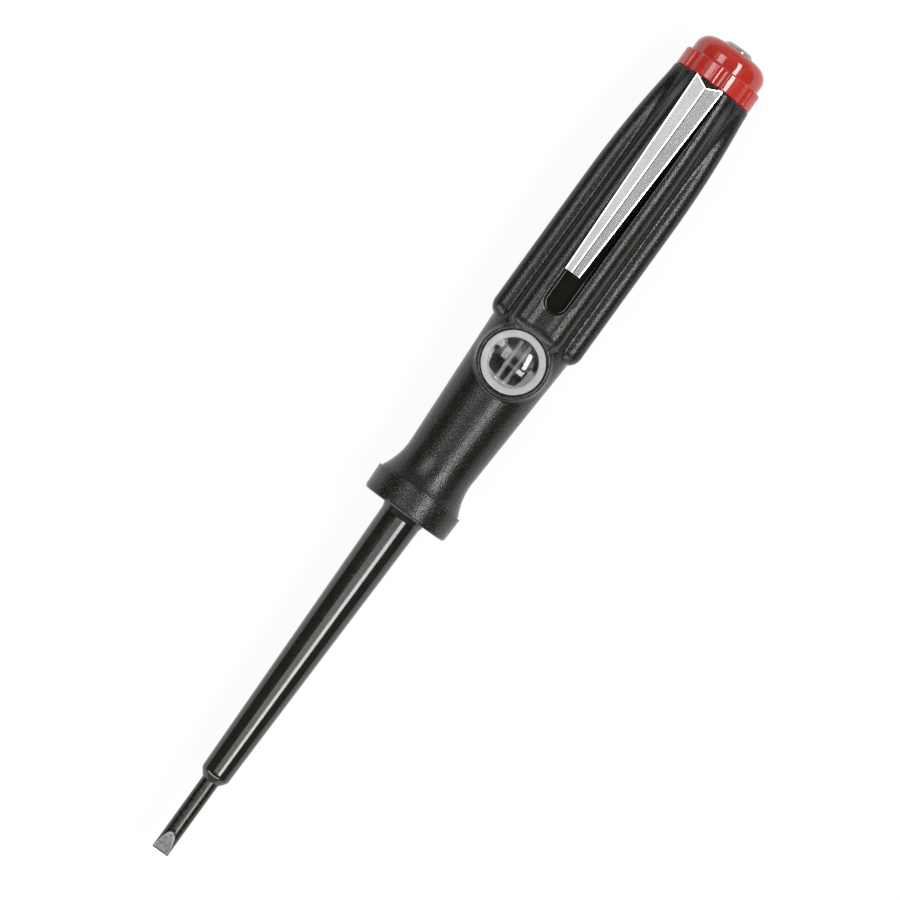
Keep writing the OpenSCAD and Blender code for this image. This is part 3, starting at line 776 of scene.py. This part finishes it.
def blade_part():
    """Round blade with two ground flats, a core in the sleeve and wings in the handle."""
    turns, flat_rows, round_rows, end_bevel = 144, 10, 24, 0.1
    wing_start, wing_end, wing_reach, wing_half = 13.0, 17.0, 3.0, 0.6
    angle = round_angles(turns)
    y, z = BLADE_R * np.sin(angle), BLADE_R * np.cos(angle)
    flat_end = BLADE_TIP + FLAT_LEN * np.maximum(np.abs(z) - TIP_HALF, 0) / (BLADE_R - TIP_HALF)
    rows = []
    for i in range(flat_rows + 1):
        b = BLADE_TIP + (flat_end - BLADE_TIP) * i / flat_rows
        height = TIP_HALF + (BLADE_R - TIP_HALF) * (b - BLADE_TIP) / FLAT_LEN
        rows.append(np.stack([-b, y, np.sign(z) * np.minimum(np.abs(z), height)], -1))
    for i in range(1, round_rows + 1):
        rows.append(np.stack([-(flat_end + (BARE_END - flat_end) * i / round_rows), y, z], -1))
    core = [(CORE_R, BARE_END), (CORE_R, BLADE_END - end_bevel), (CORE_R - end_bevel, BLADE_END)]
    rows += [about_tool(r, np.full(turns, b), angle) for r, b in core]
    verts = np.concatenate(rows)
    faces = grid_faces(len(rows), turns)
    faces += [list(range(turns)), list(range(len(verts) - turns, len(verts)))]
    wings = np.array([
        (-b, aside, height)
        for b in (wing_start, wing_end)
        for aside in (-wing_reach, wing_reach)
        for height in (-wing_half, wing_half)
    ])
    box = [(0, 1, 3, 2), (4, 6, 7, 5), (0, 4, 5, 1), (2, 3, 7, 6), (0, 2, 6, 4), (1, 5, 7, 3)]
    return joined((verts, faces), (wings, box))


def sleeve_part():
    """Insulating tube with a rounded nose, a long taper and a stepped foot in the collar."""
    front, mouth_r, bore_r = BARE_END + PLAY, 1.6, CORE_R + PLAY
    nose, root = np.array((2.53, -52.1)), np.array((3.57, -1.0))
    # rows near both ends of the long taper keep its shading straight
    taper = [(*(nose + (root - nose) * share), 0.0) for share in (0.012, 0.04, 0.5, 0.97, 0.99)]
    corners = [
        (bore_r, front, 0.0), (mouth_r, front, 0.12), (*nose, 1.1), *taper, (*root, 0.9),
        (SLEEVE_FLANGE_R, 0.0, 0.05), (SLEEVE_FLANGE_R, FLANGE_END, 0.0), (SLEEVE_TAIL_R, FLANGE_END, 0.0),
        (SLEEVE_TAIL_R, SLEEVE_END, 0.0), (bore_r, SLEEVE_END, 0.0),
    ]
    return lathe(rounded(corners, closed=True), turns=160, closed=True)


piece("blade_bar", blade_part(), "blade", "handle", "blade_steel", sharp=20)
piece("sleeve_tube", sleeve_part(), "blade_sleeve", "handle", "sleeve_plastic", sharp=40)


# Window: ring, lens and the lamp behind it


def ring_part():
    """Ring whose face falls away towards the lens."""
    foot, face_r, lip_r, lip_drop, inner_drop = RING_FOOT + PLAY, 4.72, 4.2, 0.1, 0.22
    corners = [
        (RING_IN_R, foot, 0.0), (RING_OUT_R, foot, 0.0), (RING_OUT_R, RING_FACE, 0.22),
        (face_r, RING_FACE, 0.3), (lip_r, RING_FACE - lip_drop, 0.1),
        (RING_IN_R, RING_FACE - inner_drop, 0.05),
    ]
    return lathe(rounded(corners, closed=True), turns=160, place=about_window, closed=True)


def lens_part():
    """Domed lens on a flange, which the ring holds down."""
    rise = LENS_TOP - LENS_RIM
    dome_r = (LENS_R**2 + rise**2) / (2 * rise)
    dome_angle = math.degrees(math.asin(LENS_R / dome_r))
    outline = [(0.0, LENS_FOOT), (LENS_FLANGE_R, LENS_FOOT), (LENS_FLANGE_R, RING_FOOT), (LENS_R, RING_FOOT)]
    outline += arc((0.0, LENS_TOP - dome_r), dome_r, 90 - dome_angle, 90, steps=28)
    return lathe(outline, turns=160, place=about_window)


def lamp_part():
    """Glass tube with a rounded rear end, open in front."""
    out_r, in_r, end_wall, out_bend, in_bend, bend_start = 2.3, 1.9, 0.4, 1.1, 0.75, 2.0
    outline = [(in_r, GLASS_FRONT), (out_r, GLASS_FRONT)]
    outline += arc((out_r - out_bend, GLASS_REAR - out_bend), out_bend, 0, 90, steps=10)
    outline += [(0.0, GLASS_REAR), (0.0, GLASS_REAR - end_wall)]
    outline += arc((in_r - in_bend, GLASS_REAR - end_wall - in_bend), in_bend, 90, 0, steps=10)
    outline += [(in_r, GLASS_REAR - bend_start)]
    return lathe(outline, turns=96, closed=True)


def electrode(side):
    """Wire along the lamp, with a rounded end."""
    r, aside, straight_end = 0.25, 0.475, 35.47
    outline = [(0.0, GLASS_FRONT), (r, GLASS_FRONT)] + arc((0.0, straight_end), r, 0, 90, steps=6)
    verts, faces = lathe(outline, turns=24)
    return verts + [0, side * aside, 0], faces


def seal_part():
    """Fused bead in the front of the lamp, drawn out to a point."""
    r, shoulder_at, shoulder_r, point_foot, point = 1.88, 25.3, 1.0, (0.7, 26.55), (0.0, 27.08)
    outline = [(0.0, GLASS_FRONT), (r, GLASS_FRONT)]
    outline += arc((r - shoulder_r, shoulder_at), shoulder_r, 0, 60, steps=6)
    return lathe(outline + [point_foot, point], turns=64)


piece("window_ring", ring_part(), "lens_ring", "handle", "ring_plastic", sharp=50)
piece("window_dome", lens_part(), "window_lens", "handle", "lens_plastic", sharp=35)
piece("lamp_tube", lamp_part(), "lamp_glass", "handle", "lamp_glass", sharp=50)
wires = joined(electrode(-1), electrode(1))
piece("lamp_wires", wires, "lamp_electrodes", "handle", "electrode_metal", sharp=50)
piece("lamp_seal", seal_part(), "lamp_bead", "handle", "bead_glass", sharp=60)


# Ferrules, resistor, springs and contact plate


def ferrule(r, inner, end, length, closed_at, way):
    """Metal cap with a closed end, open the other way along the tool."""
    open_at, floor_at = closed_at + way * length, closed_at + way * end
    corners = [
        (0.0, closed_at, 0.0), (r, closed_at, 0.3), (r, open_at, 0.08), (inner, open_at, 0.08),
        (inner, floor_at, 0.0), (0.0, floor_at, 0.0),
    ]
    return lathe(rounded(corners), turns=96, closed=True)


def round_bar(r, start, end, edge):
    """Solid round bar with rounded edges."""
    corners = [(0.0, start, 0.0), (r, start, edge), (r, end, edge), (0.0, end, 0.0)]
    return lathe(rounded(corners), turns=96)


def coil(start, end, turns):
    """Spring wire with its end turns lying close."""
    wire_r, out_r, turn_points, wire_sides = 0.3, 2.5, 40, 12
    close_turns, close_rate = 0.75, 0.35
    t = np.linspace(0, 1, int(turns * turn_points) + 1)
    weight = np.clip(np.minimum(t, 1 - t) / (close_turns / turns), 0, 1)
    rate = close_rate + (1 - close_rate) * weight**2 * (3 - 2 * weight)
    rise = np.concatenate([[0], np.cumsum((rate[1:] + rate[:-1]) / 2)])
    b = start + wire_r + (end - start - 2 * wire_r) * rise / rise[-1]
    path = about_tool(out_r - wire_r, b, 2 * math.pi * turns * t)
    return tube(path, wire_r, wire_sides)


LAMP_FERRULE = {"r": 2.6, "inner": 2.32, "end": 0.56, "length": 2.8}
RESISTOR_FERRULE = {"r": 2.42, "inner": 2.12, "end": 0.6, "length": 3.0}
for node, slot, size, closed_at, way in (
    ("lamp_front_cap", "contact_brass", LAMP_FERRULE, LAMP_FRONT, 1),
    ("lamp_rear_cap", "contact_brass", LAMP_FERRULE, LAMP_REAR, -1),
    ("resistor_front_cap", "electrode_metal", RESISTOR_FERRULE, RESISTOR_FRONT, 1),
    ("resistor_rear_cap", "electrode_metal", RESISTOR_FERRULE, RESISTOR_REAR, -1),
):
    part = ferrule(**size, closed_at=closed_at, way=way)
    piece(node + "_ferrule", part, node, "handle", slot, sharp=40)

# the resistor's body ends just short of the floors of its ferrules
rod_inset = RESISTOR_FERRULE["end"] + PLAY
rod = round_bar(r=2.1, start=RESISTOR_FRONT + rod_inset, end=RESISTOR_REAR - rod_inset, edge=0.25)
piece("resistor_rod", rod, "resistor_body", "handle", "resistor_ceramic", sharp=50)

SPRING_GAP = 0.05
front_coil = coil(BLADE_END + SPRING_GAP, LAMP_FRONT - SPRING_GAP, turns=2.5)
piece("lamp_spring", front_coil, "front_spring", "handle", "spring_steel", sharp=60)
cap_coil = coil(RESISTOR_REAR + SPRING_GAP, PLATE_AT - SPRING_GAP, turns=8)
spring = piece("cap_spring", cap_coil, "contact_spring", None, "spring_steel", sharp=60)
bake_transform(spring)

plate = round_bar(r=2.6, start=PLATE_AT, end=PLATE_AT + PLATE_THICK, edge=0.12)
piece("spring_plate", plate, "contact_plate", "contact", "contact_brass", sharp=50)


# End cap with its button and washer


def grooved(r, b, angle):
    """Radius with the finger grooves up the ring."""
    groove_step, half_w, depth, soft, margin = math.pi / 4, 1.25, 0.5, 0.18, 0.01
    scoop_r = (half_w**2 + depth**2) / (2 * depth)
    scoop_at = CAP_RING_R - depth + scoop_r
    aside = np.mod(angle + groove_step / 2, groove_step) - groove_step / 2
    reach = np.maximum(scoop_r**2 - (scoop_at * np.sin(aside)) ** 2, 0)
    scoop = np.where(reach > 0, scoop_at * np.cos(aside) - np.sqrt(reach), scoop_at)
    overlap = np.maximum(soft - np.abs(scoop - CAP_RING_R), 0)
    edge = np.minimum(CAP_RING_R, scoop) - overlap**2 / (4 * soft)
    share = np.clip((r - DOME_R) / (CAP_RING_R - DOME_R), 0, 1)
    on_ring = (b > SEAT_AT - margin) & (b < CAP_RING_END + margin) & (r > DOME_R)
    return np.where(on_ring, DOME_R + share * (edge - DOME_R), r)


def threaded(r, b, angle):
    """Radius with the right-hand thread round the spigot, which fades in and out over a quarter turn."""
    pitch, turns, height, first = 1.5, 4, 0.4, SPIGOT_END + 0.75
    foot_half, flank, fade = 0.33, 0.2, 0.25
    row_start, row_end, least_r = SPIGOT_END + 0.05, SEAT_AT - 0.3, SPIGOT_R - 0.5
    turn = np.mod(angle, 2 * math.pi) / (2 * math.pi)
    n = np.clip(np.round((b - first) / pitch - turn), 0, turns - 1)
    away = np.abs(b - first - pitch * (n + turn)) / pitch
    ridge = np.clip((foot_half - away) / flank, 0, 1)
    fade_in = np.clip((n + turn) / fade, 0, 1)
    fade_out = np.clip((turns - n - turn) / fade, 0, 1)
    on_spigot = (b > row_start) & (b < row_end) & (r > least_r)
    return np.where(on_spigot, r + height * ridge * fade_in * fade_out, r)


def cap_shape(r, b, angle):
    return threaded(grooved(r, b, angle), b, angle)


def cap_part():
    """Threaded spigot, grooved ring and rounded dome, with a hole for the rivet."""
    bevel, row_start, row_end, row_step = 0.3, SPIGOT_END + 0.4, SEAT_AT - 0.35, 0.09
    seat_r, dome_foot, dome_foot_r, dome_bend, dome_flat_r = 6.5, 0.3, DOME_R + 0.06, 2.5, 2.6
    outline = [(HOLE_R, SPIGOT_END), (SPIGOT_R - bevel, SPIGOT_END), (SPIGOT_R, SPIGOT_END + bevel)]
    outline += [(SPIGOT_R, b) for b in np.arange(row_start, row_end, row_step)]
    outline += [(SPIGOT_R, SEAT_AT - bevel), (SPIGOT_R, SEAT_AT)]
    ring = [
        (SPIGOT_R + PLAY, SEAT_AT, 0.0), (seat_r, SEAT_AT, 0.0), (CAP_RING_R, SEAT_AT, 0.3),
        (CAP_RING_R, CAP_RING_END, 0.45), (dome_foot_r, CAP_RING_END, 0.1),
        (DOME_R, CAP_RING_END + dome_foot, 0.3),
    ]
    outline += rounded(ring).tolist()
    outline += arc((DOME_R - dome_bend, DOME_TOP - dome_bend), dome_bend, 0, 90, steps=20)
    outline += [(dome_flat_r, DOME_TOP), (HOLE_R, DOME_TOP)]
    return lathe(outline, turns=288, closed=True, shape=cap_shape)


def button_part():
    """Dished contact head, its shank through the cap and the rivet's spread inner end."""
    inner_end, shank_end = PLATE_AT + PLATE_THICK + 0.05, HEAD_AT - 0.01
    shank_r, spread_r, head_r, side_r, rim_r, dish_r = 1.25, 1.9, 2.77, 2.74, 2.2, 1.75
    side, rim, dish = HEAD_AT + 0.22, HEAD_AT + 0.78, HEAD_AT + 0.62
    corners = [
        (0.0, inner_end, 0.0), (shank_r, inner_end, 0.1), (spread_r, WASHER_AT - PLAY, 0.1),
        (shank_r, WASHER_AT, 0.0), (shank_r, shank_end, 0.0), (head_r, HEAD_AT, 0.06),
        (side_r, side, 0.12), (rim_r, rim, 0.22), (dish_r, dish, 0.25), (0.0, dish, 0.0),
    ]
    return lathe(rounded(corners), turns=128)


def washer_part():
    r, end, edge = 2.8, WASHER_AT + 0.5, 0.1
    corners = [(HOLE_R, WASHER_AT, 0.0), (r, WASHER_AT, edge), (r, end, edge), (HOLE_R, end, 0.0)]
    return lathe(rounded(corners, closed=True), turns=96, closed=True)


piece("screw_cap", cap_part(), "end_cap", "cap", "cap_plastic", sharp=45)
piece("touch_button", button_part(), "contact_button", "cap", "button_chrome", sharp=60)
piece("rivet_ring", washer_part(), "rivet_washer", "cap", "electrode_metal", sharp=50)


# Pocket clip


def sheet_part():
    """Folded sheet with a creased ridge, flatter rims along its sides and notch, and a notched root."""
    ridge_root, ridge_drop, sheet, notch, rim, rows_along = 10.2608, 0.4368, 0.532, 1.3, 0.2, 60
    fold, rim_fold, notch_fold, crest_fold = np.tan(np.radians([20, 13.5, 17, 13]))
    # the ridge has a crest on its left side and a flat crease on top
    crest, crease = 0.24, 0.055
    crease_drop = fold * crest - crest_fold * (crest - crease)
    # columns from left to right: rim, side, three on the ridge, side and rim
    side = np.linspace(0.25, 1, 4)
    ridge = slice(1 + len(side), -1 - len(side))
    share = np.concatenate([[-1], -side[::-1], [0, 0, 0], side, [1]])[:, None]
    out = np.zeros_like(share)
    out[[0, -1], 0] = -rim, rim
    out[ridge, 0] = -crest, -crease, crease_drop / fold
    on_rim = np.abs(out) == rim
    on_crease = out == -crease
    # rows from the tip to the root, and one more for the notch's rim
    t = np.append(np.linspace(0, 1, rows_along), 1.0)
    on_notch = np.append(np.zeros(rows_along), rim)
    length, widening = CLIP_ROOT - CLIP_TIP, CLIP_ROOT_HALF - CLIP_TIP_HALF
    far = np.abs(share * (CLIP_ROOT_HALF - rim) + out) / CLIP_ROOT_HALF
    b = CLIP_TIP + t * (length - notch * (1 - far) - rim) + on_notch
    half = CLIP_TIP_HALF + widening * (b - CLIP_TIP) / length
    s = share * (half - rim) + out
    plane = ridge_root - ridge_drop * (CLIP_ROOT - b) / length - fold * np.abs(s)
    lift = (fold - rim_fold) * rim * on_rim - (crease_drop - fold * crease) * on_crease
    lift = lift - (fold - notch_fold) * on_notch * CLIP_ROOT_HALF / notch * ~on_rim
    outer = np.stack([-b, s + CLIP_ASIDE, plane + lift], -1)
    inner = np.stack([-b, s + CLIP_ASIDE, plane - sheet], -1)
    return np.concatenate([outer.reshape(-1, 3), inner.reshape(-1, 3)]), sheet_faces(*b.shape)


def sheet_faces(rows, cols):
    """Quads of a sheet with an outer and an inner side, and of the edge round it."""
    outer = np.arange(rows * cols).reshape(rows, cols)
    inner = outer + rows * cols
    top = np.stack([outer[:-1, :-1], outer[:-1, 1:], outer[1:, 1:], outer[1:, :-1]], -1)
    bottom = np.stack([inner[:-1, :-1], inner[1:, :-1], inner[1:, 1:], inner[:-1, 1:]], -1)
    faces = [top.reshape(-1, 4), bottom.reshape(-1, 4)]
    for line, under, way in (
        (outer[:, 0], inner[:, 0], 1), (outer[:, -1], inner[:, -1], -1),
        (outer[0], inner[0], -1), (outer[-1], inner[-1], 1),
    ):
        faces.append(np.stack([line[:-1], line[1:], under[1:], under[:-1]], -1)[:, ::way])
    return np.concatenate(faces).tolist()


def ear_part(side):
    """Strip that bends from the clip's root down into the notch."""
    centre, in_bend, out_bend, foot, strip_end = (83.85, 8.382), 0.4, 0.9, 5.45, 83.1
    near, far, fold, overlap = 1.62, 2.58, 0.36, 0.03
    outline = [(centre[0] + out_bend, foot)] + arc(centre, out_bend, 0, 90, steps=24)
    outline += [(strip_end, centre[1] + out_bend), (strip_end, centre[1] + in_bend)]
    outline += arc(centre, in_bend, 90, 0, steps=24) + [(centre[0] + in_bend, foot)]
    b, height = np.array(outline).T
    n = len(b)
    rows = []
    for aside in (near, far):
        # the strip rises with the sheet that it carries
        rise = np.clip((height - centre[1]) / out_bend, 0, 1) * (fold * (CLIP_ROOT_HALF - aside) + overlap)
        rows.append(np.stack([-b, np.full(n, side * aside + CLIP_ASIDE), height + rise], -1))
    faces = [[k, (k + 1) % n, n + (k + 1) % n, n + k] for k in range(n)]
    faces += [list(range(n))[::-1], list(range(n, 2 * n))]
    return np.concatenate(rows), faces


clip_parts = joined(sheet_part(), ear_part(-1), ear_part(1))
clip = piece("clip_sheet", clip_parts, "pocket_clip", "clip", "clip_steel", sharp=5)
edges = clip.modifiers.new("edges", "BEVEL")
edges.width = 0.05 * MM
edges.segments = 2
edges.limit_method = "ANGLE"
edges.angle_limit = math.radians(50)
edges.harden_normals = True


# Floor, lights and camera, in metres, with the camera's lens and sensor in millimetres

CENTRE = Vector((-0.0127, 0, 0))
FLOOR_HALF = 3.0
LIGHT_DISTANCE = 0.8
FOCAL_LENGTH, SENSOR_WIDTH, VIEW_WIDTH = 200, 36, 0.1455
VIEW_TILT = math.radians(35.9)


def floor_white():
    """White floor that keeps the tool's soft shadow."""
    glow_share = 0.92
    mat = bpy.data.materials.new("floor_white")
    mat.use_nodes = True
    nodes, links = mat.node_tree.nodes, mat.node_tree.links
    nodes.clear()
    matt = nodes.new("ShaderNodeBsdfDiffuse")
    matt.inputs["Color"].default_value = (0.9, 0.9, 0.9, 1)
    glow = nodes.new("ShaderNodeEmission")
    glow.inputs["Color"].default_value = (1, 1, 1, 1)
    path = nodes.new("ShaderNodeLightPath")
    seen = path.outputs["Is Camera Ray"]
    for ray in ("Is Glossy Ray", "Is Transmission Ray"):
        either = nodes.new("ShaderNodeMath")
        either.operation = "MAXIMUM"
        links.new(seen, either.inputs[0])
        links.new(path.outputs[ray], either.inputs[1])
        seen = either.outputs[0]
    share = nodes.new("ShaderNodeMath")
    share.operation = "MULTIPLY"
    share.inputs[1].default_value = glow_share
    links.new(seen, share.inputs[0])
    mix = nodes.new("ShaderNodeMixShader")
    links.new(share.outputs[0], mix.inputs["Fac"])
    links.new(matt.outputs[0], mix.inputs[1])
    links.new(glow.outputs[0], mix.inputs[2])
    links.new(mix.outputs[0], nodes.new("ShaderNodeOutputMaterial").inputs["Surface"])
    return mat


def turned(place, right, up, back):
    """Matrix of a light or camera, from its place beside the tool's middle and its three axes."""
    return Matrix.Translation(CENTRE + place) @ Matrix((right, up, back)).transposed().to_4x4()


def area_light(name, centre, length, width, radiance):
    """Flat soft light that faces the tool's middle from a place, with its length along X or else Y."""
    most_along_x = 0.5
    back = Vector(centre).normalized()
    across = Vector((1, 0, 0)) if abs(back.x) < most_along_x else Vector((0, 1, 0))
    up = back.cross(across).normalized()
    data = bpy.data.lights.new(name, "AREA")
    data.shape = "RECTANGLE"
    data.size = length
    data.size_y = width
    data.energy = radiance * math.pi * length * width
    light = bpy.data.objects.new(name, data)
    light.matrix_world = turned(Vector(centre), up.cross(back), up, back)
    bpy.context.scene.collection.objects.link(light)


def leaning(angle, x):
    """Place above the tool, leaning over to a side by an angle in degrees."""
    lean = math.radians(angle)
    return (x, LIGHT_DISTANCE * math.sin(lean), LIGHT_DISTANCE * math.cos(lean))


def studio_world():
    """Dim room, paler towards both ends of the tool."""
    world = bpy.data.worlds.new("studio")
    world.use_nodes = True
    nodes, links = world.node_tree.nodes, world.node_tree.links
    split = nodes.new("ShaderNodeSeparateXYZ")
    links.new(nodes.new("ShaderNodeTexCoord").outputs["Generated"], split.inputs["Vector"])
    endward = nodes.new("ShaderNodeMath")
    endward.operation = "ABSOLUTE"
    links.new(split.outputs["X"], endward.inputs[0])
    level = nodes.new("ShaderNodeMapRange")
    level.interpolation_type = "SMOOTHSTEP"
    for socket, value in (("From Min", 0.3), ("From Max", 0.75), ("To Min", 0.06), ("To Max", 0.4)):
        level.inputs[socket].default_value = value
    links.new(endward.outputs[0], level.inputs["Value"])
    background = nodes["Background"]
    background.inputs["Color"].default_value = (1, 1, 1, 1)
    links.new(level.outputs["Result"], background.inputs["Strength"])
    return world


floor_mesh = bpy.data.meshes.new("floor")
floor_corners = [(-1, -1), (1, -1), (1, 1), (-1, 1)]
floor_mesh.from_pydata(
    [(x * FLOOR_HALF, y * FLOOR_HALF, CAD_BOX[0].z) for x, y in floor_corners], [], [(0, 1, 2, 3)]
)
floor_mesh.materials.append(floor_white())
floor = bpy.data.objects.new("floor", floor_mesh)
bpy.context.scene.collection.objects.link(floor)

area_light("soft_box", (0.165, -0.01, 1.3), length=0.17, width=0.92, radiance=2.1)
area_light("strip_light", leaning(29, x=-0.31), length=0.62, width=0.16, radiance=16)
area_light("front_strip", leaning(27.5, x=0.12), length=0.15, width=0.26, radiance=11)
area_light("left_strip", leaning(-27, x=-0.16), length=0.38, width=0.26, radiance=5.2)
area_light("left_card", (-0.16, -0.45, 0.54), length=0.36, width=0.24, radiance=0.84)
area_light("right_card", (-0.16, 0.50, 0.55), length=0.30, width=0.18, radiance=0.5)
area_light("front_card", (0.67, -0.10, 0.39), length=1.4, width=0.26, radiance=4.5)
bpy.context.scene.world = studio_world()

# the camera looks straight down, turned so that the tool slants as in the photograph
camera = bpy.data.cameras.new("camera")
camera.lens = FOCAL_LENGTH
camera.sensor_width = SENSOR_WIDTH
camera.clip_start = 0.01
camera.clip_end = 20
view = bpy.data.objects.new("camera", camera)
bpy.context.scene.collection.objects.link(view)
view_right = (-math.sin(VIEW_TILT), math.cos(VIEW_TILT), 0)
view_up = (-math.cos(VIEW_TILT), -math.sin(VIEW_TILT), 0)
view_height = VIEW_WIDTH * FOCAL_LENGTH / SENSOR_WIDTH
view.matrix_world = turned(Vector((0, 0, view_height)), view_right, view_up, (0, 0, 1))
bpy.context.scene.camera = view
bpy.context.scene.view_settings.view_transform = "Standard"
